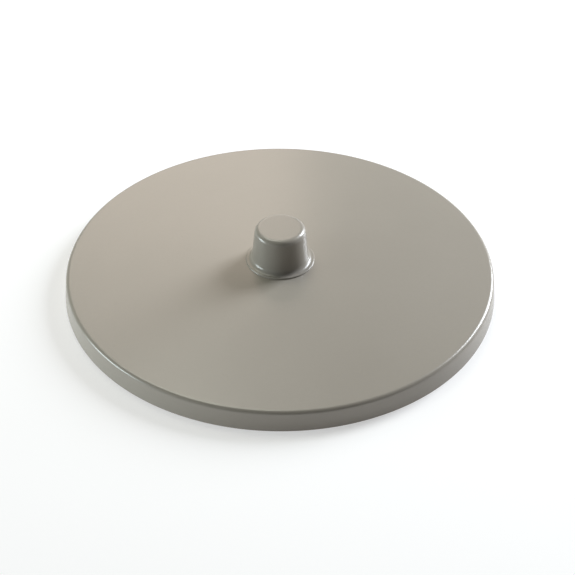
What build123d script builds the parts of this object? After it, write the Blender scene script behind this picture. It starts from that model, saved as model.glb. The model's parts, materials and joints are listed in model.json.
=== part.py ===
"""Lift-off manhole cover: a moulded double skin with a foam core and a grip knob, about 424 mm across.

Millimetres, +Z up. The origin is the centre of the circle that the skirt's lower edge stands on.
The outer skin is a shallow cone that sheds rain, with a short skirt around it. A hollow knob stands
on a flat seat at its middle. A shallow tray closes the underside: its side wall drops into a round
neck, and a flat ring seal under its flange rests on the neck's rim. One screw from below runs up
through the tray and the outer skin into the knob, and clamps the three together.
"""

import math
import os

from build123d import *

# Outer skin.
RIM_RADIUS = 210.0  # where the cone and the skirt would meet without the rounded corner
SKIRT_FLARE = 2.0  # how much further out the skirt's lower edge stands
SKIRT_HEIGHT = 21.0
CORNER_ROUND = 4.0
CONE_SLOPE = 3.0  # degrees of fall from the knob's seat to the rim
SKIN = 3.5
SEAT_RADIUS = 34.6  # flat seat under the knob
SEAT_BLEND = 6.0

# Grip knob. Its heights are above the seat.
KNOB_HEIGHT = 37.7
KNOB_FOOT_RADIUS = 28.0
KNOB_TOP_RADIUS = 24.6
KNOB_TOP_ROUND = 5.4
KNOB_FOOT_ROUND = 4.6
KNOB_WALL = 3.0
FOOT_RING_RADIUS = 33.8
FOOT_RING_HEIGHT = 1.4
FOOT_RING_ROUND = 1.2
CAVITY_ROUND = 1.5
BOSS_RADIUS = 9.5
BOSS_CORE_RADIUS = 4.6
BOSS_CORE_TOP = 32.0
RIB_COUNT = 4
RIB_THICKNESS = 2.2
RIB_BOTTOM = 6.0
RIB_ROOT = 1.0  # how far a rib is sunk into the boss and the roof
RIB_START_ANGLE = 45.0
PIP_RADIUS = 1.3  # two pips under the foot ring stop the knob turning
PIP_COUNT = 2
PIP_LENGTH = 2.4
PIP_CIRCLE_RADIUS = 31.7
PIP_CLEARANCE = 0.15
PIP_HOLE_DEPTH = 2.6

# Seal in the groove under the knob's foot ring.
GROOVE_INNER = 26.4
GROOVE_OUTER = 29.6
GROOVE_DEPTH = 1.2
KNOB_SEAL_INNER = 26.7
KNOB_SEAL_OUTER = 29.3
KNOB_SEAL_ROUND = 0.5

# Threaded insert in the knob's boss.
INSERT_RADIUS = 6.0
INSERT_LENGTH = 20.0
INSERT_COLLAR_RADIUS = 7.5
INSERT_COLLAR_THICKNESS = 1.5
INSERT_GROOVE_DEPTH = 0.5
INSERT_GROOVE_WIDTH = 1.6
INSERT_GROOVES = (6.0, 11.0, 16.0)  # heights above the seat

# Tray under the outer skin.
TRAY_WALL = 2.5
SPIGOT_RADIUS = 194.0
FLANGE_RADIUS = 204.5
FLANGE_TOP = 17.0
TRAY_BOTTOM = 3.0
TRAY_CORNER = 3.6
TRAY_NECK_ROUND = 1.0
WELL_MOUTH_RADIUS = 32.0  # hollow that keeps the screw's head above the base
WELL_ROOF_RADIUS = 28.0
WELL_DEPTH = 9.0
BEAD_RADII = (78.0, 118.0, 158.0)  # stiffening beads pressed up into the tray's floor
BEAD_FOOT = 7.0
BEAD_CROWN = 3.0
BEAD_HEIGHT = 3.5
BEAD_ROUND = 3.5

# Ring seal under the flange, and the glue line above it.
RIM_SEAL_INNER = 197.0
RIM_SEAL_OUTER = 204.0
RIM_SEAL_THICKNESS = 3.5
RIM_SEAL_ROUND = 0.8
GLUE_INNER = 196.0
GLUE_OUTER = 204.0
GLUE_REACH = 2.0  # taller than the gap, so that the outer skin trims it

# Screw and the pieces that it clamps.
SCREW_RADIUS = 4.0
SCREW_HOLE_RADIUS = 4.5
SCREW_LENGTH = 40.0
SCREW_HEAD_FLATS = 13.0
SCREW_HEAD_HEIGHT = 5.3
SCREW_TIP_CHAMFER = 0.8
WASHER_RADIUS = 12.0
WASHER_THICKNESS = 1.6
SEAL_WASHER_RADIUS = 14.0
SEAL_WASHER_THICKNESS = 2.0
PLATE_RADIUS = 26.0
PLATE_THICKNESS = 2.0
SLEEVE_RADIUS = 8.0

# Plugs in the holes that the foam is poured and vented through.
PORT_CIRCLE_RADIUS = 138.0
FILL_HOLE_RADIUS = 8.0
VENT_HOLE_RADIUS = 4.0
VENT_COUNT = 2
VENT_FIRST_ANGLE = 120.0
VENT_SPREAD = 120.0
PLUG_RIM = 3.0  # how far a plug's head stands past its hole
PLUG_HEAD_THICKNESS = 1.6
PLUG_HEAD_ROUND = 0.6
PLUG_BARB = 0.5  # how far its barb stands past its hole
PLUG_BARB_LENGTH = 2.5

# Worked out from the dimensions above.
FALL = math.tan(math.radians(CONE_SLOPE))
SEAT_HEIGHT = SKIRT_HEIGHT + (RIM_RADIUS - SEAT_RADIUS) * FALL
SEAT_UNDERSIDE = SEAT_HEIGHT - SKIN
FLANGE_BOTTOM = FLANGE_TOP - TRAY_WALL
TRAY_FLOOR = TRAY_BOTTOM + TRAY_WALL
WELL_ROOF = TRAY_BOTTOM + WELL_DEPTH
PLATE_BOTTOM = WELL_ROOF + TRAY_WALL
PLATE_TOP = PLATE_BOTTOM + PLATE_THICKNESS
SEAL_WASHER_BOTTOM = WELL_ROOF - SEAL_WASHER_THICKNESS
HEAD_TOP = SEAL_WASHER_BOTTOM - WASHER_THICKNESS
HEAD_BOTTOM = HEAD_TOP - SCREW_HEAD_HEIGHT
SPIGOT_BORE = SPIGOT_RADIUS - TRAY_WALL
KNOB_TOP = SEAT_HEIGHT + KNOB_HEIGHT
CAVITY_ROOF = KNOB_TOP - KNOB_WALL

os.makedirs("parts", exist_ok=True)


def write(part, name):
    """Labels a finished piece and writes it as its own STEP file."""
    part.label = name
    export_step(part, f"parts/{name}.step")


def profile(*corners):
    """Closed outline in the plane that is revolved; each corner is (radius, height, rounding)."""
    points = [(radius, height) for radius, height, _ in corners]
    FilletPolyline(*points, radius=[rounding for _, _, rounding in corners], close=True)


# Outer skin: one line along its upper side, thickened inwards, and trimmed level at the base.
with BuildPart() as cover_skin:
    with BuildSketch(Plane.XZ):
        with BuildLine():
            FilletPolyline(
                (SCREW_HOLE_RADIUS, SEAT_HEIGHT),
                (SEAT_RADIUS, SEAT_HEIGHT),
                (RIM_RADIUS, SKIRT_HEIGHT),
                (RIM_RADIUS + 2 * SKIRT_FLARE, -SKIRT_HEIGHT),
                radius=[SEAT_BLEND, CORNER_ROUND],
            )
            offset(amount=SKIN, side=Side.RIGHT)
        make_face()
    revolve(axis=Axis.Z)
    split(bisect_by=Plane.XY, keep=Keep.TOP)
    with BuildSketch(Plane.XY.offset(SEAT_HEIGHT)):
        with PolarLocations(PIP_CIRCLE_RADIUS, PIP_COUNT):
            Circle(PIP_RADIUS + PIP_CLEARANCE)
    extrude(amount=-PIP_HOLE_DEPTH, mode=Mode.SUBTRACT)
write(cover_skin.part, "cover_skin")

# Grip knob: a tapered cup, mouth down, with a foot ring, a boss for the insert and ribs between.
with BuildPart() as grip_knob:
    with BuildSketch(Plane.XZ):
        with BuildLine():
            profile(
                (0, SEAT_HEIGHT, 0),
                (FOOT_RING_RADIUS, SEAT_HEIGHT, 0),
                (FOOT_RING_RADIUS, SEAT_HEIGHT + FOOT_RING_HEIGHT, FOOT_RING_ROUND),
                (KNOB_FOOT_RADIUS, SEAT_HEIGHT + FOOT_RING_HEIGHT, KNOB_FOOT_ROUND),
                (KNOB_TOP_RADIUS, KNOB_TOP, KNOB_TOP_ROUND),
                (0, KNOB_TOP, 0),
            )
        make_face()
        with BuildLine():
            profile(
                (BOSS_RADIUS, SEAT_HEIGHT, 0),
                (BOSS_RADIUS, CAVITY_ROOF, CAVITY_ROUND),
                (KNOB_TOP_RADIUS - KNOB_WALL, CAVITY_ROOF, CAVITY_ROUND),
                (KNOB_FOOT_RADIUS - KNOB_WALL, SEAT_HEIGHT, 0),
            )
        make_face(mode=Mode.SUBTRACT)
    revolve(axis=Axis.Z)
    with BuildSketch(Plane.XZ):
        with BuildLine():
            Polyline(
                (BOSS_RADIUS - RIB_ROOT, SEAT_HEIGHT + RIB_BOTTOM),
                (BOSS_RADIUS - RIB_ROOT, CAVITY_ROOF + RIB_ROOT),
                (KNOB_TOP_RADIUS - KNOB_WALL + RIB_ROOT, CAVITY_ROOF + RIB_ROOT),
                (KNOB_FOOT_RADIUS - KNOB_WALL, SEAT_HEIGHT + RIB_BOTTOM),
                close=True,
            )
        make_face()
    rib = extrude(amount=RIB_THICKNESS / 2, both=True, mode=Mode.PRIVATE)
    with PolarLocations(0, RIB_COUNT, start_angle=RIB_START_ANGLE):
        add(rib)
    with BuildSketch(Plane.XZ):
        with BuildLine():
            profile(
                (0, SEAT_HEIGHT, 0),
                (INSERT_COLLAR_RADIUS, SEAT_HEIGHT, 0),
                (INSERT_COLLAR_RADIUS, SEAT_HEIGHT + INSERT_COLLAR_THICKNESS, 0),
                (INSERT_RADIUS, SEAT_HEIGHT + INSERT_COLLAR_THICKNESS, 0),
                (INSERT_RADIUS, SEAT_HEIGHT + INSERT_LENGTH, 0),
                (BOSS_CORE_RADIUS, SEAT_HEIGHT + INSERT_LENGTH, 0),
                (BOSS_CORE_RADIUS, SEAT_HEIGHT + BOSS_CORE_TOP, 0),
                (0, SEAT_HEIGHT + BOSS_CORE_TOP, 0),
            )
        make_face()
    revolve(axis=Axis.Z, mode=Mode.SUBTRACT)
    with BuildSketch(Plane.XY.offset(SEAT_HEIGHT)):
        Circle(GROOVE_OUTER)
        Circle(GROOVE_INNER, mode=Mode.SUBTRACT)
    extrude(amount=GROOVE_DEPTH, mode=Mode.SUBTRACT)
    with BuildSketch(Plane.XY.offset(SEAT_HEIGHT)):
        with PolarLocations(PIP_CIRCLE_RADIUS, PIP_COUNT):
            Circle(PIP_RADIUS)
    extrude(amount=-PIP_LENGTH)
write(grip_knob.part, "grip_knob")

# Knob seal: a soft ring squeezed to the depth of its groove.
with BuildPart() as knob_seal:
    with BuildSketch(Plane.XZ):
        with BuildLine():
            profile(
                (KNOB_SEAL_INNER, SEAT_HEIGHT, KNOB_SEAL_ROUND),
                (KNOB_SEAL_OUTER, SEAT_HEIGHT, KNOB_SEAL_ROUND),
                (KNOB_SEAL_OUTER, SEAT_HEIGHT + GROOVE_DEPTH, KNOB_SEAL_ROUND),
                (KNOB_SEAL_INNER, SEAT_HEIGHT + GROOVE_DEPTH, KNOB_SEAL_ROUND),
            )
        make_face()
    revolve(axis=Axis.Z)
write(knob_seal.part, "knob_seal")

# Threaded insert: a collared bush, held by grooves round its body.
with BuildPart() as knob_insert:
    with BuildSketch(Plane.XY.offset(SEAT_HEIGHT)):
        Circle(INSERT_COLLAR_RADIUS)
    extrude(amount=INSERT_COLLAR_THICKNESS)
    with BuildSketch(Plane.XY.offset(SEAT_HEIGHT)):
        Circle(INSERT_RADIUS)
    extrude(amount=INSERT_LENGTH)
    with BuildSketch(Plane.XY.offset(SEAT_HEIGHT)):
        Circle(SCREW_RADIUS)
    extrude(amount=INSERT_LENGTH, mode=Mode.SUBTRACT)
    for height in INSERT_GROOVES:
        with BuildSketch(Plane.XY.offset(SEAT_HEIGHT + height)):
            Circle(INSERT_RADIUS)
            Circle(INSERT_RADIUS - INSERT_GROOVE_DEPTH, mode=Mode.SUBTRACT)
        extrude(amount=INSERT_GROOVE_WIDTH, mode=Mode.SUBTRACT)
write(knob_insert.part, "knob_insert")

# Tray: one line along its underside, thickened upwards. The well and the beads are pressed up.
tray_corners = [
    (WELL_ROOF_RADIUS, WELL_ROOF, TRAY_NECK_ROUND),
    (WELL_MOUTH_RADIUS, TRAY_BOTTOM, TRAY_CORNER),
]
for bead in BEAD_RADII:
    tray_corners += [
        (bead - BEAD_FOOT, TRAY_BOTTOM, BEAD_ROUND),
        (bead - BEAD_CROWN, TRAY_BOTTOM + BEAD_HEIGHT, BEAD_ROUND),
        (bead + BEAD_CROWN, TRAY_BOTTOM + BEAD_HEIGHT, BEAD_ROUND),
        (bead + BEAD_FOOT, TRAY_BOTTOM, BEAD_ROUND),
    ]
tray_corners += [
    (SPIGOT_RADIUS, TRAY_BOTTOM, TRAY_CORNER),
    (SPIGOT_RADIUS, FLANGE_BOTTOM, TRAY_NECK_ROUND),
]
with BuildPart() as inner_tray:
    with BuildSketch(Plane.XZ):
        with BuildLine():
            FilletPolyline(
                (SCREW_HOLE_RADIUS, WELL_ROOF),
                *[(radius, height) for radius, height, _ in tray_corners],
                (FLANGE_RADIUS, FLANGE_BOTTOM),
                radius=[rounding for _, _, rounding in tray_corners],
            )
            offset(amount=TRAY_WALL, side=Side.LEFT)
        make_face()
    revolve(axis=Axis.Z)
    with BuildSketch(Plane.XY.offset(TRAY_BOTTOM)):
        with Locations((PORT_CIRCLE_RADIUS, 0)):
            Circle(FILL_HOLE_RADIUS)
        with PolarLocations(PORT_CIRCLE_RADIUS, VENT_COUNT, VENT_FIRST_ANGLE, VENT_SPREAD, endpoint=True):
            Circle(VENT_HOLE_RADIUS)
    extrude(amount=TRAY_WALL, mode=Mode.SUBTRACT)
write(inner_tray.part, "inner_tray")


def plug_section(hole_radius):
    """Outline of a plug on its own axis: a domed head, a stem through the tray and a barb."""
    profile(
        (0, TRAY_BOTTOM - PLUG_HEAD_THICKNESS, 0),
        (hole_radius + PLUG_RIM, TRAY_BOTTOM - PLUG_HEAD_THICKNESS, PLUG_HEAD_ROUND),
        (hole_radius + PLUG_RIM, TRAY_BOTTOM, 0),
        (hole_radius, TRAY_BOTTOM, 0),
        (hole_radius, TRAY_FLOOR, 0),
        (hole_radius + PLUG_BARB, TRAY_FLOOR, 0),
        (hole_radius - PLUG_BARB, TRAY_FLOOR + PLUG_BARB_LENGTH, 0),
        (0, TRAY_FLOOR + PLUG_BARB_LENGTH, 0),
    )


# Fill plug: closes the hole that the foam was poured through.
with BuildPart() as fill_plug:
    with BuildSketch(Plane.XZ):
        with BuildLine():
            plug_section(FILL_HOLE_RADIUS)
        make_face()
    turned_plug = revolve(axis=Axis.Z, mode=Mode.PRIVATE)
    with Locations((PORT_CIRCLE_RADIUS, 0)):
        add(turned_plug)
write(fill_plug.part, "fill_plug")

# Vent plugs: the same shape, smaller, in the two holes that let the air out.
with BuildPart() as vent_plugs:
    with BuildSketch(Plane.XZ):
        with BuildLine():
            plug_section(VENT_HOLE_RADIUS)
        make_face()
    turned_plug = revolve(axis=Axis.Z, mode=Mode.PRIVATE)
    with PolarLocations(PORT_CIRCLE_RADIUS, VENT_COUNT, VENT_FIRST_ANGLE, VENT_SPREAD, endpoint=True):
        add(turned_plug)
write(vent_plugs.part, "vent_plugs")

# Rim seal: the flat ring under the flange that rests on the neck.
with BuildPart() as rim_seal:
    with BuildSketch(Plane.XZ):
        with BuildLine():
            profile(
                (RIM_SEAL_INNER, FLANGE_BOTTOM - RIM_SEAL_THICKNESS, RIM_SEAL_ROUND),
                (RIM_SEAL_OUTER, FLANGE_BOTTOM - RIM_SEAL_THICKNESS, RIM_SEAL_ROUND),
                (RIM_SEAL_OUTER, FLANGE_BOTTOM, 0),
                (RIM_SEAL_INNER, FLANGE_BOTTOM, 0),
            )
        make_face()
    revolve(axis=Axis.Z)
write(rim_seal.part, "rim_seal")

# Glue line: fills the wedge between the flange and the outer skin.
with BuildPart() as rim_adhesive:
    with BuildSketch(Plane.XY.offset(FLANGE_TOP)):
        Circle(GLUE_OUTER)
        Circle(GLUE_INNER, mode=Mode.SUBTRACT)
    extrude(amount=GLUE_REACH)
    add(cover_skin.part, mode=Mode.SUBTRACT)
write(rim_adhesive.part, "rim_adhesive")

# Pressure plate: spreads the clamping force over the well's roof.
with BuildPart() as pressure_plate:
    with BuildSketch(Plane.XY.offset(PLATE_BOTTOM)):
        Circle(PLATE_RADIUS)
        Circle(SCREW_HOLE_RADIUS, mode=Mode.SUBTRACT)
    extrude(amount=PLATE_THICKNESS)
write(pressure_plate.part, "pressure_plate")

# Spacer sleeve: carries the clamping force past the foam, up to the outer skin.
with BuildPart() as spacer_sleeve:
    with BuildSketch(Plane.XY.offset(PLATE_TOP)):
        Circle(SLEEVE_RADIUS)
        Circle(SCREW_HOLE_RADIUS, mode=Mode.SUBTRACT)
    extrude(amount=SEAT_UNDERSIDE - PLATE_TOP)
write(spacer_sleeve.part, "spacer_sleeve")

# Foam core: whatever is left between the tray and the outer skin, inside the spigot.
with BuildPart() as foam_core:
    with BuildSketch(Plane.XY.offset(TRAY_BOTTOM)):
        Circle(SPIGOT_BORE)
        Circle(SLEEVE_RADIUS, mode=Mode.SUBTRACT)
    extrude(amount=SEAT_HEIGHT - TRAY_BOTTOM)
    for neighbour in (cover_skin, inner_tray, pressure_plate, fill_plug, vent_plugs):
        add(neighbour.part, mode=Mode.SUBTRACT)
    between_skins = foam_core.solids().sort_by(SortBy.VOLUME)[-1]
    add(between_skins, mode=Mode.INTERSECT)
write(foam_core.part, "foam_core")

# Sealing washer: soft, between the well's roof and the steel washer.
with BuildPart() as sealing_washer:
    with BuildSketch(Plane.XY.offset(SEAL_WASHER_BOTTOM)):
        Circle(SEAL_WASHER_RADIUS)
        Circle(SCREW_RADIUS, mode=Mode.SUBTRACT)
    extrude(amount=SEAL_WASHER_THICKNESS)
write(sealing_washer.part, "sealing_washer")

# Steel washer under the screw's head.
with BuildPart() as steel_washer:
    with BuildSketch(Plane.XY.offset(HEAD_TOP)):
        Circle(WASHER_RADIUS)
        Circle(SCREW_HOLE_RADIUS, mode=Mode.SUBTRACT)
    extrude(amount=WASHER_THICKNESS)
write(steel_washer.part, "steel_washer")

# Tie screw: hexagon head down, shank up into the knob's insert.
with BuildPart() as tie_screw:
    with BuildSketch(Plane.XY.offset(HEAD_BOTTOM)):
        RegularPolygon(radius=SCREW_HEAD_FLATS / 2, side_count=6, major_radius=False)
    extrude(amount=SCREW_HEAD_HEIGHT)
    with BuildSketch(Plane.XY.offset(HEAD_TOP)):
        Circle(SCREW_RADIUS)
    extrude(amount=SCREW_LENGTH)
    chamfer(tie_screw.edges().group_by(Axis.Z)[-1], SCREW_TIP_CHAMFER)
write(tie_screw.part, "tie_screw")
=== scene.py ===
"""Looks of the lift-off manhole cover: fine meshes, materials, studio and camera. Metres, in the CAD frame."""
import json
import math

import bpy
from mathutils import Matrix, Vector


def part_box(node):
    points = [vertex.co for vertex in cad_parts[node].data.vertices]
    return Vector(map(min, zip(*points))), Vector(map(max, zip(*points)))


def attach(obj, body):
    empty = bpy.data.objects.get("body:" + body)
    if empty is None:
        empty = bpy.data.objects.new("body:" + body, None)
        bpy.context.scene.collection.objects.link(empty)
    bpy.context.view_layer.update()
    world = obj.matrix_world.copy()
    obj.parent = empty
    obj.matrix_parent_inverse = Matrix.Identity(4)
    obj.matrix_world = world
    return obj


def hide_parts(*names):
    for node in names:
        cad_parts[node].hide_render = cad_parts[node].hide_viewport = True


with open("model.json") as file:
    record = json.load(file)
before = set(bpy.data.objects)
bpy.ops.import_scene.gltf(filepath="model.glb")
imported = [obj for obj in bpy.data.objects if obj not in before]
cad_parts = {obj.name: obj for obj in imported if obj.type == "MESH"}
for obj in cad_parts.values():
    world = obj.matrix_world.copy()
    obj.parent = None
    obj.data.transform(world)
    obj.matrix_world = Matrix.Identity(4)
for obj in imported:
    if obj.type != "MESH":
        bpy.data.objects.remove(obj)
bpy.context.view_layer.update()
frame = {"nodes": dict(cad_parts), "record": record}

BODY = "root"
MM = 0.001

# Outer skin. Levels come from the frame where it gives them.
BASE_RADIUS = 212 * MM
RIM_RADIUS = 210 * MM
SKIRT_HEIGHT = 21 * MM
SKIN = 3.5 * MM
CORNER_ROUND = 4 * MM
SEAT_RADIUS = 34.6 * MM
SEAT_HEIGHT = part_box("cover_skin")[1].z
SEAT_BLEND = 6 * MM
TRIM_ROUND = 0.5 * MM
SCREW_HOLE_RADIUS = 4.5 * MM

# Grip knob.
KNOB_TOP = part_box("grip_knob")[1].z
FOOT_RING_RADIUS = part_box("grip_knob")[1].x
FOOT_RING_HEIGHT = 1.4 * MM
FOOT_RING_ROUND = 1.2 * MM
KNOB_FOOT_RADIUS = 28 * MM
KNOB_FOOT_ROUND = 4.6 * MM
KNOB_TOP_RADIUS = 24.6 * MM
KNOB_TOP_ROUND = 5.4 * MM
KNOB_WALL = 3 * MM
CAVITY_ROOF = KNOB_TOP - KNOB_WALL
CAVITY_ROUND = 1.5 * MM
BOSS_RADIUS = 9.5 * MM
BOSS_CORE_RADIUS = 4.6 * MM
BOSS_CORE_TOP = SEAT_HEIGHT + 32 * MM
RIB_THICKNESS = 2.2 * MM
RIB_BOTTOM = SEAT_HEIGHT + 6 * MM
ROOT = 1 * MM  # how far a rib or pip reaches into what it grows from
RIB_ANGLES = (45, 135, 225, 315)
PIP_RADIUS = 1.3 * MM
PIP_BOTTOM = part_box("grip_knob")[0].z
PIP_ROUND = 0.2 * MM
PIP_CIRCLE_RADIUS = 31.7 * MM
PIP_ANGLES = (0, 180)
GROOVE_INNER = 26.4 * MM
GROOVE_OUTER = 29.6 * MM
GROOVE_DEPTH = 1.2 * MM
INSERT_COLLAR_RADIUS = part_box("knob_insert")[1].x
INSERT_COLLAR_THICKNESS = 1.5 * MM
INSERT_RADIUS = 6 * MM
INSERT_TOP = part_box("knob_insert")[1].z

# Tray.
TRAY_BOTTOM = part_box("inner_tray")[0].z
FLANGE_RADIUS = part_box("inner_tray")[1].x
TRAY_WALL = 2.5 * MM
FLANGE_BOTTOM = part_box("inner_tray")[1].z - TRAY_WALL
SPIGOT_RADIUS = 194 * MM
TRAY_CORNER = 3.6 * MM
TRAY_NECK_ROUND = 1 * MM
WELL_ROOF = TRAY_BOTTOM + 9 * MM
WELL_MOUTH_RADIUS = 32 * MM
WELL_ROOF_RADIUS = 28 * MM
BEAD_RADII = (78 * MM, 118 * MM, 158 * MM)
BEAD_FOOT = 7 * MM
BEAD_CROWN = 3 * MM
BEAD_HEIGHT = 3.5 * MM
BEAD_ROUND = 3.5 * MM

# Ports in the tray's floor and their plugs. A hole is given by its radius, a place by its angle.
PORT_CIRCLE_RADIUS = 138 * MM
FILL_HOLE = 8 * MM
VENT_HOLE = 4 * MM
FILL_ANGLES = (0,)
VENT_ANGLES = (120, 240)
PLUG_RIM = 3 * MM
PLUG_HEAD = 1.6 * MM
PLUG_HEAD_ROUND = 0.6 * MM
PLUG_BARB = 0.5 * MM
PLUG_BARB_LENGTH = 2.5 * MM
PLUG_TIP_ROUND = 0.2 * MM
PLUG_EDGE_ROUND = 0.1 * MM
DISH_DEPTH = 0.7 * MM
DISH_ROUND = 0.4 * MM
DISH_MOUTH = 0.8  # of the hole's radius
DISH_FLOOR = 0.7  # of the hole's radius

# Rim seal.
SEAL_INNER = 197 * MM
SEAL_OUTER = 204 * MM
SEAL_TOP_ROUND = 0.1 * MM
SEAL_FACE_ROUND = 0.8 * MM
SEAL_GROOVES = (0.75, 0.5, 0.25)  # of the way from the inner to the outer edge
SEAL_GROOVE_DEPTH = 0.7 * MM
SEAL_GROOVE_MOUTH = 0.5 * MM  # half widths
SEAL_GROOVE_FLOOR = 0.3 * MM
SEAL_GROOVE_ROUND = 0.15 * MM

# Tie screw and its washers.
ACROSS_FLATS = 13 * MM
HEXAGON_ANGLES = range(0, 360, 60)
HEAD_CHAMFER = 0.5 * MM
HEAD_CLEARANCE = 1.01  # the chamfering shape, as a share of the hexagon's corner radius
TOP_FACE = 0.97  # flat faces of the head, as shares of the distance to a flat
BOTTOM_FACE = 0.95
SHANK_RADIUS = 4 * MM
SHANK_ROOT = 0.5 * MM  # the shank starts this far inside the head
SHANK_PLAIN = 12 * MM
SHANK_TIP = 0.9 * MM
THREAD_PITCH = 1.25 * MM
THREAD_DEPTH = 0.65 * MM
WASHER_HOLE = 4.5 * MM
WASHER_ROUND = 0.25 * MM
SOFT_WASHER_HOLE = 4 * MM
SOFT_WASHER_ROUND = 0.7 * MM

# Meshing.
LATHE_SEGMENTS = 360
WASHER_SEGMENTS = 160
PLUG_SEGMENTS = 128
HEAD_SEGMENTS = 96
PORT_SEGMENTS = 64
PIP_SEGMENTS = 32
THREAD_STEPS_ROUND = 48
THREAD_STEPS_PER_PITCH = 10
ARC_STEP = math.radians(10)
STRAIGHT = math.radians(0.5)  # a corner that turns less than this stays a point
HOLD = 0.3 * MM  # a flat stretch keeps its shading up to this distance from a rounded corner
LONGEST_RUN = 15 * MM
SHARP_ANGLE = math.radians(38)
NO_RADIUS = 1e-7


# ---------------------------------------------------------------- meshes

def corner_arc(back, corner, ahead, rounding):
    """Points along the arc that rounds a corner between two neighbours, in order."""
    to_back = (back - corner).normalized()
    to_ahead = (ahead - corner).normalized()
    half = to_back.angle(to_ahead) / 2
    sweep = math.pi - 2 * half
    if rounding <= 0 or sweep < STRAIGHT:
        return [corner]
    centre = corner + (to_back + to_ahead).normalized() * (rounding / math.sin(half))
    first = corner + to_back * (rounding / math.tan(half)) - centre
    last = corner + to_ahead * (rounding / math.tan(half)) - centre
    steps = max(2, math.ceil(sweep / ARC_STEP))
    points = []
    for step in range(steps + 1):
        share = step / steps
        near, far = math.sin((1 - share) * sweep), math.sin(share * sweep)
        points.append(centre + (first * near + last * far) / math.sin(sweep))
    return points


def straight_run(start, end):
    """Points inside a straight stretch: one held close to each end, and more along a long one."""
    length = (end - start).length
    if length < 3 * HOLD:
        return []
    count = max(1, math.ceil((length - 2 * HOLD) / LONGEST_RUN))
    stops = [HOLD + (length - 2 * HOLD) * index / count for index in range(count + 1)]
    return [start.lerp(end, stop / length) for stop in stops]


def outline(corners):
    """Closed outline through (radius, height, rounding) corners, which run clockwise, radius to the right."""
    places = [Vector(corner[:2]) for corner in corners]
    arcs = []
    for index, corner in enumerate(corners):
        ahead = places[(index + 1) % len(places)]
        arcs.append(corner_arc(places[index - 1], places[index], ahead, corner[2]))
    points = []
    for index, arc in enumerate(arcs):
        points += arc
        points += straight_run(arc[-1], arcs[(index + 1) % len(arcs)][0])
    return points


def side_of(start, end):
    """The side to the right of a stretch, as a unit vector."""
    run = (end - start).normalized()
    return Vector((run.y, -run.x))


def sheet_corners(line, thickness, trim, level_end=False):
    """Closed corners of a sheet: an open line of (radius, height, rounding), thickened to its right."""
    places = [Vector(corner[:2]) for corner in line]
    inner = []
    for index, place in enumerate(places):
        sides = []
        if index > 0:
            sides.append(side_of(places[index - 1], place))
        if index < len(places) - 1:
            sides.append(side_of(place, places[index + 1]))
        mitre = sum(sides, Vector((0, 0))).normalized()
        shifted = place + mitre * (thickness / mitre.dot(sides[0]))
        rounding = trim
        if len(sides) == 2:
            bends_right = sides[0].cross(sides[1]) < 0
            rounding = line[index][2] + (-thickness if bends_right else thickness)
        inner.append((shifted.x, shifted.y, max(rounding, trim)))
    if level_end:
        last_run = (places[-1] - places[-2]).normalized()
        x, y, rounding = inner[-1]
        slide = (places[-1].y - y) / last_run.y
        inner[-1] = (x + last_run.x * slide, places[-1].y, rounding)
    ends = (0, len(line) - 1)
    outer = [(c[0], c[1], trim if i in ends else c[2]) for i, c in enumerate(line)]
    return outer + inner[::-1]


def lathe_mesh(name, corners, segments=LATHE_SEGMENTS, centre=(0, 0)):
    """A closed outline turned once round the vertical axis through centre."""
    vertices, faces, rings = [], [], []
    for point in outline(corners):
        if point.x < NO_RADIUS:
            rings.append([len(vertices)] * segments)
            vertices.append((centre[0], centre[1], point.y))
            continue
        rings.append(list(range(len(vertices), len(vertices) + segments)))
        for step in range(segments):
            angle = 2 * math.pi * step / segments
            x = centre[0] + point.x * math.cos(angle)
            y = centre[1] + point.x * math.sin(angle)
            vertices.append((x, y, point.y))
    for index, ring in enumerate(rings):
        after = rings[(index + 1) % len(rings)]
        if ring[0] == ring[1] and after[0] == after[1]:
            continue
        for step in range(segments):
            on = (step + 1) % segments
            loop = [ring[step], after[step], after[on], ring[on]]
            faces.append([v for i, v in enumerate(loop) if v not in loop[:i]])
    mesh = bpy.data.meshes.new(name)
    mesh.from_pydata(vertices, [], faces)
    mesh.update()
    return mesh


def prism_mesh(name, outline_points, low, high):
    """A straight prism from low to high over a polygon of (x, y) points, anticlockwise from above."""
    count = len(outline_points)
    vertices = [(x, y, z) for z in (low, high) for x, y in outline_points]
    faces = [tuple(range(count))[::-1], tuple(range(count, 2 * count))]
    for index in range(count):
        on = (index + 1) % count
        faces.append((index, on, count + on, count + index))
    mesh = bpy.data.meshes.new(name)
    mesh.from_pydata(vertices, [], faces)
    mesh.update()
    return mesh


def new_piece(name, mesh):
    piece = bpy.data.objects.new(name, mesh)
    bpy.context.scene.collection.objects.link(piece)
    return piece


def combine(piece, tool_mesh, operation):
    """Boolean of a piece with a tool mesh, which may hold several closed shapes."""
    tool = new_piece("tool", tool_mesh)
    change = piece.modifiers.new("combine", "BOOLEAN")
    change.operation = operation
    change.solver = "EXACT"
    change.object = tool
    graph = bpy.context.evaluated_depsgraph_get()
    made = bpy.data.meshes.new_from_object(piece.evaluated_get(graph))
    piece.modifiers.clear()
    piece.data = made
    bpy.data.objects.remove(tool)


def joined(name, meshes):
    """One mesh that holds several closed meshes side by side."""
    vertices, faces = [], []
    for mesh in meshes:
        start = len(vertices)
        vertices += [tuple(vertex.co) for vertex in mesh.vertices]
        faces += [[start + index for index in polygon.vertices] for polygon in mesh.polygons]
    mesh = bpy.data.meshes.new(name)
    mesh.from_pydata(vertices, [], faces)
    mesh.update()
    return mesh


def finish_piece(piece, slot, node):
    """Smooth shading with crisp sharp edges, the slot's material, the piece hung under the body's empty, and the
    CAD node that it stands for hidden.
    """
    piece.data.materials.clear()
    piece.data.materials.append(MATERIALS[slot])
    piece.data.shade_smooth()
    piece.data.set_sharp_from_angle(angle=SHARP_ANGLE)
    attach(piece, BODY)
    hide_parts(node)


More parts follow.
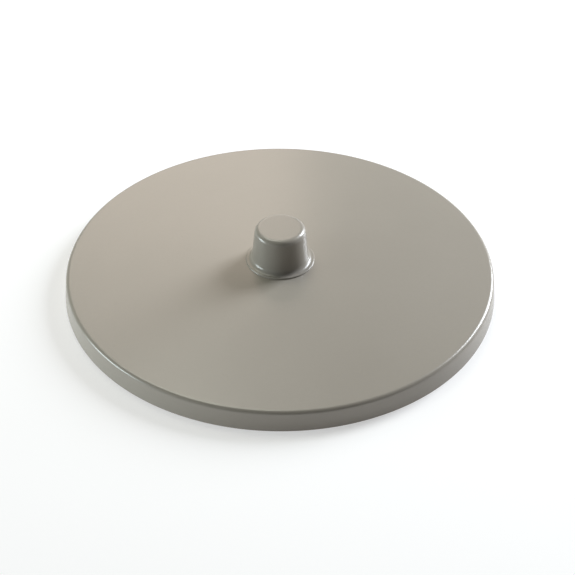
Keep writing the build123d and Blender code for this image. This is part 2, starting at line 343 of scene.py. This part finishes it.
def around(radius, angles):
    """Places on a circle, at these angles in degrees."""
    return [(radius * math.cos(math.radians(a)), radius * math.sin(math.radians(a))) for a in angles]


# ---------------------------------------------------------------- materials

class Finish:
    """A node material under construction: a Principled shader and the maps that feed it."""

    def __init__(self, name, colour, roughness, metallic=0.0, specular=0.5):
        self.material = bpy.data.materials.new(name)
        self.material.use_nodes = True
        self.tree = self.material.node_tree
        self.shader = self.tree.nodes["Principled BSDF"]
        self.shader.inputs["Base Color"].default_value = (*colour, 1)
        self.shader.inputs["Roughness"].default_value = roughness
        self.shader.inputs["Metallic"].default_value = metallic
        self.shader.inputs["Specular IOR Level"].default_value = specular
        self.place = self.tree.nodes.new("ShaderNodeTexCoord").outputs["Object"]

    def node(self, kind, inputs=(), **settings):
        made = self.tree.nodes.new(kind)
        for key, value in settings.items():
            setattr(made, key, value)
        for socket, value in dict(inputs).items():
            if isinstance(value, bpy.types.NodeSocket):
                self.tree.links.new(value, made.inputs[socket])
            else:
                made.inputs[socket].default_value = value
        return made

    def noise(self, size, detail=2.0, stretch=(1, 1, 1)):
        """Noise whose features are about this many metres across."""
        place = self.node("ShaderNodeMapping", {"Vector": self.place, "Scale": stretch}).outputs["Vector"]
        made = self.node("ShaderNodeTexNoise", {"Vector": place, "Scale": 1 / size, "Detail": detail})
        return made.outputs["Fac"]

    def band(self, value, low, high, out_low=0.0, out_high=1.0):
        """Maps low..high of a value smoothly onto out_low..out_high."""
        return self.node(
            "ShaderNodeMapRange",
            {"Value": value, "From Min": low, "From Max": high, "To Min": out_low, "To Max": out_high},
            interpolation_type="SMOOTHSTEP",
        ).outputs["Result"]

    def times(self, first, second):
        return self.node("ShaderNodeMath", {0: first, 1: second}, operation="MULTIPLY").outputs["Value"]

    def blend(self, share, first, second):
        """Colour between two colours, or between a colour socket and a colour."""
        made = self.node("ShaderNodeMix", {"Factor": share}, data_type="RGBA")
        for socket, value in ((made.inputs[6], first), (made.inputs[7], second)):
            if isinstance(value, bpy.types.NodeSocket):
                self.tree.links.new(value, socket)
            else:
                socket.default_value = (*value, 1)
        return made.outputs[2]

    def use_colour(self, colour):
        self.tree.links.new(colour, self.shader.inputs["Base Color"])

    def use_roughness(self, value):
        self.tree.links.new(value, self.shader.inputs["Roughness"])

    def use_bump(self, height, depth):
        """Adds relief of this depth in metres, on top of any relief there is."""
        bump = self.node("ShaderNodeBump", {"Height": height, "Distance": depth})
        links = self.shader.inputs["Normal"].links
        if links:
            self.tree.links.new(links[0].from_socket, bump.inputs["Normal"])
        self.tree.links.new(bump.outputs["Normal"], self.shader.inputs["Normal"])


# Ranges of a noise's values that a band stretches out.
WIDE = (0.3, 0.7)
MIDDLE = (0.35, 0.65)
UPPER = (0.35, 0.7)
BRIGHT = (0.45, 0.75)
PEAKS = (0.72, 0.78)


def scaled(colour, factor):
    return tuple(channel * factor for channel in colour)


def moulded_grey(name, colour, roughness):
    """Smooth moulded skin: faint cloudiness and flecks, a little unevenness in the gloss, a trace of ripple."""
    cloud_size, cloud_swing = 0.09, 0.01
    mottle_size, mottle_share, mottle_tone = 0.0035, 0.25, 0.96
    fleck_size, fleck_share, fleck_tone = 0.0014, 0.3, 0.75
    gloss_size, gloss_swing = 0.05, 0.012
    ripple_size, ripple_depth = 0.012, 8e-6
    grain_size, grain_depth = 0.0008, 1.2e-6
    finish = Finish(name, colour, roughness)
    cloud = finish.band(finish.noise(cloud_size, detail=3), *MIDDLE)
    base = finish.blend(cloud, scaled(colour, 1 - cloud_swing), scaled(colour, 1 + cloud_swing))
    mottle = finish.band(finish.noise(mottle_size, detail=4), *WIDE)
    base = finish.blend(finish.times(mottle, mottle_share), base, scaled(colour, mottle_tone))
    fleck = finish.band(finish.noise(fleck_size, detail=1), *PEAKS)
    base = finish.blend(finish.times(fleck, fleck_share), base, scaled(colour, fleck_tone))
    finish.use_colour(base)
    gloss = finish.noise(gloss_size, detail=5)
    finish.use_roughness(finish.band(gloss, *WIDE, roughness - gloss_swing, roughness + gloss_swing))
    finish.use_bump(finish.noise(ripple_size, detail=1), ripple_depth)
    finish.use_bump(finish.noise(grain_size), grain_depth)
    return finish.material


def matt_sheet(name, colour):
    """Underside sheet: matt, with a fine even grain pressed into it."""
    cloud_size, dark_tone, light_tone = 0.05, 0.94, 1.05
    gloss_size, gloss_low, gloss_high = 0.012, 0.52, 0.68
    grain_size, grain_depth = 0.0012, 6e-5
    finish = Finish(name, colour, 0.6, specular=0.4)
    cloud = finish.band(finish.noise(cloud_size, detail=4), *WIDE)
    finish.use_colour(finish.blend(cloud, scaled(colour, dark_tone), scaled(colour, light_tone)))
    finish.use_roughness(finish.band(finish.noise(gloss_size, detail=4), *WIDE, gloss_low, gloss_high))
    finish.use_bump(finish.noise(grain_size, detail=3), grain_depth)
    return finish.material


def solid_rubber(name, colour):
    """Matt rubber with a bloom of paler dust."""
    bloom_size, bloom_share, bloom_tone = 0.02, 0.5, 2.2
    gloss_size, gloss_low, gloss_high = 0.006, 0.65, 0.85
    grain_size, grain_depth = 0.0008, 3e-5
    finish = Finish(name, colour, 0.75, specular=0.35)
    bloom = finish.band(finish.noise(bloom_size, detail=5), *BRIGHT, 0.0, bloom_share)
    finish.use_colour(finish.blend(bloom, colour, scaled(colour, bloom_tone)))
    finish.use_roughness(finish.band(finish.noise(gloss_size, detail=3), *WIDE, gloss_low, gloss_high))
    finish.use_bump(finish.noise(grain_size), grain_depth)
    return finish.material


def worked_metal(name, colour, roughness, stretch):
    """Metal with tool marks drawn out along one direction."""
    mark_size, mark_depth, smoother, rougher = 0.0009, 1e-5, 0.08, 0.1
    stain_size, stain_tone = 0.008, 0.82
    finish = Finish(name, colour, roughness, metallic=1.0)
    marks = finish.noise(mark_size, detail=4, stretch=stretch)
    finish.use_roughness(finish.band(marks, *WIDE, roughness - smoother, roughness + rougher))
    stain = finish.band(finish.noise(stain_size, detail=4), *UPPER)
    finish.use_colour(finish.blend(stain, colour, scaled(colour, stain_tone)))
    finish.use_bump(marks, mark_depth)
    return finish.material


def moulded_plain(name, colour, roughness):
    """Small moulded piece: slightly uneven gloss and a faint grain."""
    cloud_size, dark_tone, light_tone = 0.01, 0.9, 1.15
    gloss_size, gloss_swing = 0.004, 0.06
    grain_size, grain_depth = 0.0009, 2e-5
    finish = Finish(name, colour, roughness)
    cloud = finish.band(finish.noise(cloud_size, detail=3), *WIDE)
    finish.use_colour(finish.blend(cloud, scaled(colour, dark_tone), scaled(colour, light_tone)))
    gloss = finish.noise(gloss_size, detail=3)
    finish.use_roughness(finish.band(gloss, *WIDE, roughness - gloss_swing, roughness + gloss_swing))
    finish.use_bump(finish.noise(grain_size), grain_depth)
    return finish.material


def rigid_foam(name, colour):
    """Closed-cell foam: small round cells and darker patches."""
    cell_size, cell_depth = 0.0012, 3e-4
    patch_size, patch_tone = 0.02, 0.8
    finish = Finish(name, colour, 0.9, specular=0.2)
    cells = finish.node("ShaderNodeTexVoronoi", {"Vector": finish.place, "Scale": 1 / cell_size})
    patches = finish.band(finish.noise(patch_size, detail=4), *UPPER)
    finish.use_colour(finish.blend(patches, colour, scaled(colour, patch_tone)))
    finish.use_bump(cells.outputs["Distance"], cell_depth)
    return finish.material


SKIN_ROUGHNESS = 0.26
TURNED = (1, 1, 12)  # tool marks run round the axis
ROLLED = (1, 10, 1)  # tool marks run along X
COLOURS = {entry["slot"]: tuple(entry["base_color"][:3]) for entry in frame["record"]["materials"]}
MATERIALS = {
    "cover_grey": moulded_grey("cover_grey", COLOURS["cover_grey"], SKIN_ROUGHNESS),
    "knob_grey": moulded_grey("knob_grey", COLOURS["knob_grey"], SKIN_ROUGHNESS),
    "tray_grey": matt_sheet("tray_grey", COLOURS["tray_grey"]),
    "seal_rubber": solid_rubber("seal_rubber", COLOURS["seal_rubber"]),
    "insert_brass": worked_metal("insert_brass", COLOURS["insert_brass"], 0.3, TURNED),
    "screw_steel": worked_metal("screw_steel", COLOURS["screw_steel"], 0.34, TURNED),
    "plate_steel": worked_metal("plate_steel", COLOURS["plate_steel"], 0.4, ROLLED),
    "sleeve_plastic": moulded_plain("sleeve_plastic", COLOURS["sleeve_plastic"], 0.5),
    "core_foam": rigid_foam("core_foam", COLOURS["core_foam"]),
    "adhesive": solid_rubber("adhesive", COLOURS["adhesive"]),
    "plug_plastic": moulded_plain("plug_plastic", COLOURS["plug_plastic"], 0.45),
}


# ---------------------------------------------------------------- pieces

def make_cover():
    """Outer skin: cone, rounded corner and skirt, trimmed level at the base."""
    line = [
        (SCREW_HOLE_RADIUS, SEAT_HEIGHT, 0),
        (SEAT_RADIUS, SEAT_HEIGHT, SEAT_BLEND),
        (RIM_RADIUS, SKIRT_HEIGHT, CORNER_ROUND),
        (BASE_RADIUS, 0, 0),
    ]
    corners = sheet_corners(line, SKIN, TRIM_ROUND, level_end=True)
    piece = new_piece("cover", lathe_mesh("cover", corners))
    finish_piece(piece, "cover_grey", "cover_skin")


def make_knob():
    """Knob: tapered cup with a foot ring, and inside it the boss, its ribs and the pips below."""
    foot_top = SEAT_HEIGHT + FOOT_RING_HEIGHT
    groove_top = SEAT_HEIGHT + GROOVE_DEPTH
    cavity_top = KNOB_TOP_RADIUS - KNOB_WALL
    cavity_foot = KNOB_FOOT_RADIUS - KNOB_WALL
    collar_top = SEAT_HEIGHT + INSERT_COLLAR_THICKNESS
    corners = [
        (0, KNOB_TOP, 0),
        (KNOB_TOP_RADIUS, KNOB_TOP, KNOB_TOP_ROUND),
        (KNOB_FOOT_RADIUS, foot_top, KNOB_FOOT_ROUND),
        (FOOT_RING_RADIUS, foot_top, FOOT_RING_ROUND),
        (FOOT_RING_RADIUS, SEAT_HEIGHT, 0),
        (GROOVE_OUTER, SEAT_HEIGHT, 0),
        (GROOVE_OUTER, groove_top, 0),
        (GROOVE_INNER, groove_top, 0),
        (GROOVE_INNER, SEAT_HEIGHT, 0),
        (cavity_foot, SEAT_HEIGHT, 0),
        (cavity_top, CAVITY_ROOF, CAVITY_ROUND),
        (BOSS_RADIUS, CAVITY_ROOF, CAVITY_ROUND),
        (BOSS_RADIUS, SEAT_HEIGHT, 0),
        (INSERT_COLLAR_RADIUS, SEAT_HEIGHT, 0),
        (INSERT_COLLAR_RADIUS, collar_top, 0),
        (INSERT_RADIUS, collar_top, 0),
        (INSERT_RADIUS, INSERT_TOP, 0),
        (BOSS_CORE_RADIUS, INSERT_TOP, 0),
        (BOSS_CORE_RADIUS, BOSS_CORE_TOP, 0),
        (0, BOSS_CORE_TOP, 0),
    ]
    piece = new_piece("knob", lathe_mesh("knob", corners))
    inner, outer = BOSS_RADIUS - ROOT, cavity_top + ROOT
    half = RIB_THICKNESS / 2
    additions = []
    for angle in RIB_ANGLES:
        turn = Matrix.Rotation(math.radians(angle), 2)
        section = [(inner, -half), (outer, -half), (outer, half), (inner, half)]
        places = [tuple(turn @ Vector(point)) for point in section]
        additions.append(prism_mesh("rib", places, RIB_BOTTOM, CAVITY_ROOF + ROOT))
    for place in around(PIP_CIRCLE_RADIUS, PIP_ANGLES):
        pip = [
            (0, SEAT_HEIGHT + ROOT, 0),
            (PIP_RADIUS, SEAT_HEIGHT + ROOT, 0),
            (PIP_RADIUS, PIP_BOTTOM, PIP_ROUND),
            (0, PIP_BOTTOM, 0),
        ]
        additions.append(lathe_mesh("pip", pip, segments=PIP_SEGMENTS, centre=place))
    combine(piece, joined("ribs_and_pips", additions), "UNION")
    finish_piece(piece, "knob_grey", "grip_knob")


def make_tray():
    """Tray: well, beads, spigot wall and flange, with the three ports cut through its floor."""
    line = [
        (SCREW_HOLE_RADIUS, WELL_ROOF, 0),
        (WELL_ROOF_RADIUS, WELL_ROOF, TRAY_NECK_ROUND),
        (WELL_MOUTH_RADIUS, TRAY_BOTTOM, TRAY_CORNER),
    ]
    for bead in BEAD_RADII:
        line += [
            (bead - BEAD_FOOT, TRAY_BOTTOM, BEAD_ROUND),
            (bead - BEAD_CROWN, TRAY_BOTTOM + BEAD_HEIGHT, BEAD_ROUND),
            (bead + BEAD_CROWN, TRAY_BOTTOM + BEAD_HEIGHT, BEAD_ROUND),
            (bead + BEAD_FOOT, TRAY_BOTTOM, BEAD_ROUND),
        ]
    line += [
        (SPIGOT_RADIUS, TRAY_BOTTOM, TRAY_CORNER),
        (SPIGOT_RADIUS, FLANGE_BOTTOM, TRAY_NECK_ROUND),
        (FLANGE_RADIUS, FLANGE_BOTTOM, 0),
    ]
    corners = sheet_corners(line[::-1], TRAY_WALL, TRIM_ROUND)
    piece = new_piece("tray", lathe_mesh("tray", corners))
    ports = []
    for hole, angles in ((FILL_HOLE, FILL_ANGLES), (VENT_HOLE, VENT_ANGLES)):
        for place in around(PORT_CIRCLE_RADIUS, angles):
            drill = [
                (0, TRAY_BOTTOM + 2 * TRAY_WALL, 0),
                (hole, TRAY_BOTTOM + 2 * TRAY_WALL, 0),
                (hole, TRAY_BOTTOM - TRAY_WALL, 0),
                (0, TRAY_BOTTOM - TRAY_WALL, 0),
            ]
            ports.append(lathe_mesh("port", drill, segments=PORT_SEGMENTS, centre=place))
    combine(piece, joined("ports", ports), "DIFFERENCE")
    finish_piece(piece, "tray_grey", "inner_tray")


def plug_mesh(name, hole, place):
    """Push-in plug: head with a shallow dish in it, stem through the floor, and a barb above."""
    low = TRAY_BOTTOM - PLUG_HEAD
    floor = TRAY_BOTTOM + TRAY_WALL
    corners = [
        (0, floor + PLUG_BARB_LENGTH, 0),
        (hole - PLUG_BARB, floor + PLUG_BARB_LENGTH, PLUG_TIP_ROUND),
        (hole + PLUG_BARB, floor, PLUG_EDGE_ROUND),
        (hole, floor, 0),
        (hole, TRAY_BOTTOM, 0),
        (hole + PLUG_RIM, TRAY_BOTTOM, PLUG_EDGE_ROUND),
        (hole + PLUG_RIM, low, PLUG_HEAD_ROUND),
        (hole * DISH_MOUTH, low, DISH_ROUND),
        (hole * DISH_FLOOR, low + DISH_DEPTH, DISH_ROUND),
        (0, low + DISH_DEPTH, 0),
    ]
    return lathe_mesh(name, corners, segments=PLUG_SEGMENTS, centre=place)


def make_plugs():
    """The fill plug, and the two vent plugs as one piece."""
    for name, node, hole, angles in (
        ("fill_plug_moulded", "fill_plug", FILL_HOLE, FILL_ANGLES),
        ("vent_plugs_moulded", "vent_plugs", VENT_HOLE, VENT_ANGLES),
    ):
        plugs = [plug_mesh("plug", hole, place) for place in around(PORT_CIRCLE_RADIUS, angles)]
        piece = new_piece(name, joined(name, plugs))
        finish_piece(piece, "plug_plastic", node)


def make_rim_seal():
    """Flat rubber ring with three shallow grooves in the face that meets the neck."""
    low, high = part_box("rim_seal")
    groove_top = low.z + SEAL_GROOVE_DEPTH
    corners = [
        (SEAL_INNER, high.z, SEAL_TOP_ROUND),
        (SEAL_OUTER, high.z, SEAL_TOP_ROUND),
        (SEAL_OUTER, low.z, SEAL_FACE_ROUND),
    ]
    for share in SEAL_GROOVES:
        middle = SEAL_INNER + (SEAL_OUTER - SEAL_INNER) * share
        corners += [
            (middle + SEAL_GROOVE_MOUTH, low.z, SEAL_GROOVE_ROUND),
            (middle + SEAL_GROOVE_FLOOR, groove_top, SEAL_GROOVE_ROUND),
            (middle - SEAL_GROOVE_FLOOR, groove_top, SEAL_GROOVE_ROUND),
            (middle - SEAL_GROOVE_MOUTH, low.z, SEAL_GROOVE_ROUND),
        ]
    corners.append((SEAL_INNER, low.z, SEAL_FACE_ROUND))
    piece = new_piece("seal_ring", lathe_mesh("seal_ring", corners))
    finish_piece(piece, "seal_rubber", "rim_seal")


def make_washers():
    """Flat rings with rounded edges: the steel washer and the rubber one above it."""
    for name, node, slot, hole, rounding in (
        ("washer", "steel_washer", "screw_steel", WASHER_HOLE, WASHER_ROUND),
        ("soft_washer", "sealing_washer", "seal_rubber", SOFT_WASHER_HOLE, SOFT_WASHER_ROUND),
    ):
        low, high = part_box(node)
        corners = [
            (hole, high.z, rounding),
            (high.x, high.z, rounding),
            (high.x, low.z, rounding),
            (hole, low.z, rounding),
        ]
        piece = new_piece(name, lathe_mesh(name, corners, segments=WASHER_SEGMENTS))
        finish_piece(piece, slot, node)


def make_screw():
    """Hexagon-head screw: chamfered head with a washer face, plain shank, cut thread."""
    low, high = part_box("tie_screw")
    head_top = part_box("steel_washer")[0].z
    flat_radius = ACROSS_FLATS / 2
    corner_radius = ACROSS_FLATS / math.sqrt(3)
    hexagon = around(corner_radius, HEXAGON_ANGLES)
    screw = new_piece("screw", prism_mesh("head", hexagon, low.z, head_top))
    envelope = [
        (0, head_top, 0),
        (flat_radius * TOP_FACE, head_top, 0),
        (corner_radius * HEAD_CLEARANCE, head_top - HEAD_CHAMFER, 0),
        (corner_radius * HEAD_CLEARANCE, low.z + HEAD_CHAMFER, 0),
        (flat_radius * BOTTOM_FACE, low.z, 0),
        (0, low.z, 0),
    ]
    combine(screw, lathe_mesh("envelope", envelope, segments=HEAD_SEGMENTS), "INTERSECT")
    combine(screw, thread_mesh(head_top - SHANK_ROOT, high.z), "UNION")
    finish_piece(screw, "screw_steel", "tie_screw")


def thread_mesh(low, high):
    """Shank with a helical thread over its upper part, closed at both ends."""
    turn_steps = THREAD_STEPS_ROUND
    plain_end, tip = low + SHANK_PLAIN, high - SHANK_TIP
    rows = math.ceil((high - low) / THREAD_PITCH * THREAD_STEPS_PER_PITCH)
    vertices = []
    for row in range(rows + 1):
        z = low + (high - low) * row / rows
        fade_in = min(1.0, max(0.0, (z - plain_end) / THREAD_PITCH))
        taper = max(0.0, z - tip)
        for step in range(turn_steps):
            share = step / turn_steps
            phase = ((z - low) / THREAD_PITCH - share) % 1.0
            cut = THREAD_DEPTH * (1 - abs(2 * phase - 1)) * fade_in
            radius = SHANK_RADIUS - max(cut, taper)
            angle = 2 * math.pi * share
            vertices.append((radius * math.cos(angle), radius * math.sin(angle), z))
    faces = []
    for row in range(rows):
        for step in range(turn_steps):
            on = (step + 1) % turn_steps
            a, b = row * turn_steps, (row + 1) * turn_steps
            faces.append((a + step, a + on, b + on, b + step))
    faces.append(tuple(range(turn_steps))[::-1])
    faces.append(tuple(rows * turn_steps + step for step in range(turn_steps)))
    mesh = bpy.data.meshes.new("thread")
    mesh.from_pydata(vertices, [], faces)
    mesh.update()
    return mesh


def dress_hidden_nodes():
    """Pieces that stay as the CAD made them, with their materials."""
    for entry in frame["record"]["subparts"]:
        node = frame["nodes"][entry["node"]]
        if node.hide_render:
            continue
        node.data.materials.clear()
        node.data.materials.append(MATERIALS[entry["material_slot"]])


make_cover()
make_knob()
make_tray()
make_plugs()
make_rim_seal()
make_washers()
make_screw()
dress_hidden_nodes()


# ---------------------------------------------------------------- studio

CAMERA_DISTANCE = 1.5175
CAMERA_ELEVATION = 38.03
CAMERA_PAN, CAMERA_TILT, CAMERA_ROLL = -0.2755, -0.8049, -0.2396
CAMERA_LENS = 96.3
CAMERA_SENSOR = 36

FLOOR_HALF = 6.0
FLOOR_THICKNESS = 0.02
FLOOR_GREY = 0.5
FLOOR_ROUGHNESS = 0.9
FLOOR_GLOW = 0.5
WORLD_GLOW = 0.06
WHITE = (1, 1, 1, 1)

# Softboxes, as name, azimuth, elevation, width, height and radiance. Azimuth 0 is +X and 90 is +Y.
SOFTBOX_DISTANCE = 2.2
SOFTBOXES = (
    ("key", 38, 27.5, 0.83, 1.45, (19.0, 20.0, 21.3)),
    ("top", 122, 66, 1.05, 1.07, (4.6, 4.7, 4.1)),
    ("left", 187, 6, 1.06, 0.50, (17.8, 20.1, 20.4)),
    ("back_panel", 100.5, 30.6, 0.90, 1.23, (2.4, 2.02, 1.72)),
)


def make_camera():
    """Looks from -Y, down at the middle of the rim's circle, then turned a little to frame the cover."""
    target = Vector((0, 0, SKIRT_HEIGHT))
    elevation = math.radians(CAMERA_ELEVATION)
    place = target + CAMERA_DISTANCE * Vector((0, -math.cos(elevation), math.sin(elevation)))
    forward = (target - place).normalized()
    right = forward.cross(Vector((0, 0, 1))).normalized()
    up = right.cross(forward)
    axes = {"right": right, "up": up, "forward": forward}
    for about, angle in (("up", CAMERA_PAN), ("right", CAMERA_TILT), ("forward", CAMERA_ROLL)):
        turn = Matrix.Rotation(math.radians(angle), 3, axes[about])
        axes = {name: turn @ axis for name, axis in axes.items()}
    pose = Matrix((axes["right"], axes["up"], -axes["forward"])).transposed().to_4x4()
    pose.translation = place
    data = bpy.data.cameras.new("camera")
    data.sensor_width = CAMERA_SENSOR
    data.lens = CAMERA_LENS
    camera = bpy.data.objects.new("camera", data)
    bpy.context.scene.collection.objects.link(camera)
    camera.matrix_world = pose
    bpy.context.scene.camera = camera


def make_softbox(name, azimuth, elevation, width, height, radiance):
    """Rectangular light that faces the cover, with its radiance given as a colour."""
    strongest = max(radiance)
    data = bpy.data.lights.new(name, "AREA")
    data.shape = "RECTANGLE"
    data.size, data.size_y = width, height
    data.color = [channel / strongest for channel in radiance]
    data.energy = strongest * math.pi * width * height
    light = bpy.data.objects.new(name, data)
    bpy.context.scene.collection.objects.link(light)
    turn, rise = math.radians(azimuth), math.radians(elevation)
    direction = Vector((math.cos(turn) * math.cos(rise), math.sin(turn) * math.cos(rise), math.sin(rise)))
    light.location = direction * SOFTBOX_DISTANCE
    light.rotation_euler = (-direction).to_track_quat("-Z", "Y").to_euler()


def make_floor():
    """Pale floor that glows a little, so that shadows on it stay faint."""
    half = FLOOR_HALF
    square = [(-half, -half), (half, -half), (half, half), (-half, half)]
    floor = new_piece("floor", prism_mesh("floor", square, -FLOOR_THICKNESS, 0))
    finish = Finish("floor", (FLOOR_GREY, FLOOR_GREY, FLOOR_GREY), FLOOR_ROUGHNESS, specular=0.0)
    finish.shader.inputs["Emission Color"].default_value = WHITE
    finish.shader.inputs["Emission Strength"].default_value = FLOOR_GLOW
    floor.data.materials.append(finish.material)


def make_world():
    """Faint even light from all round."""
    world = bpy.data.worlds.new("world")
    bpy.context.scene.world = world
    world.use_nodes = True
    background = world.node_tree.nodes["Background"]
    background.inputs["Color"].default_value = WHITE
    background.inputs["Strength"].default_value = WORLD_GLOW


make_camera()
make_floor()
make_world()
for softbox in SOFTBOXES:
    make_softbox(*softbox)
bpy.context.scene.view_settings.view_transform = "Standard"
